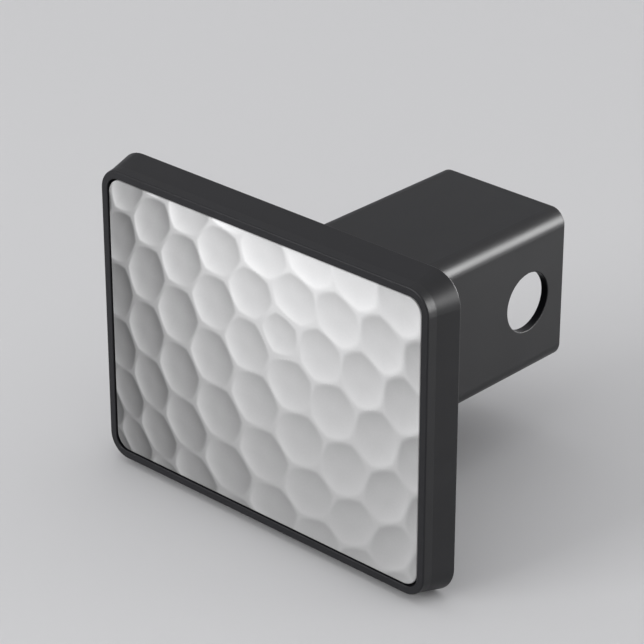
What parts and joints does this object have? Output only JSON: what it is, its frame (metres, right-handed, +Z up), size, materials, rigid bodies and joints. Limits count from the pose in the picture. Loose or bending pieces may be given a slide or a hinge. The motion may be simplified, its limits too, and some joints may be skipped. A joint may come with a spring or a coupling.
{
  "type": "hitch receiver cover",
  "caption": "Rectangular cover with a printed dimple-pattern plate in a black moulded frame and a hollow square tube behind, which plugs a tow hitch receiver and is pinned crosswise.",
  "frame": {"origin": "centre of the cross-pin hole on the axis of the tube", "axes": "+X along the cross pin, +Y from the face towards the tube's open end, +Z up; the face looks along -Y"},
  "size_m": [0.1314, 0.1074, 0.0998],
  "materials": {
    "black_abs": "satin moulded black",
    "printed_plate": "white plate printed with grey dimples under a clear gloss coat",
    "adhesive_foam": "matt foam sheet"
  },
  "bodies": {
    "root": {"cover_body": "black_abs", "face_plate": "printed_plate", "adhesive_sheet": "adhesive_foam"}
  },
  "joints": []
}
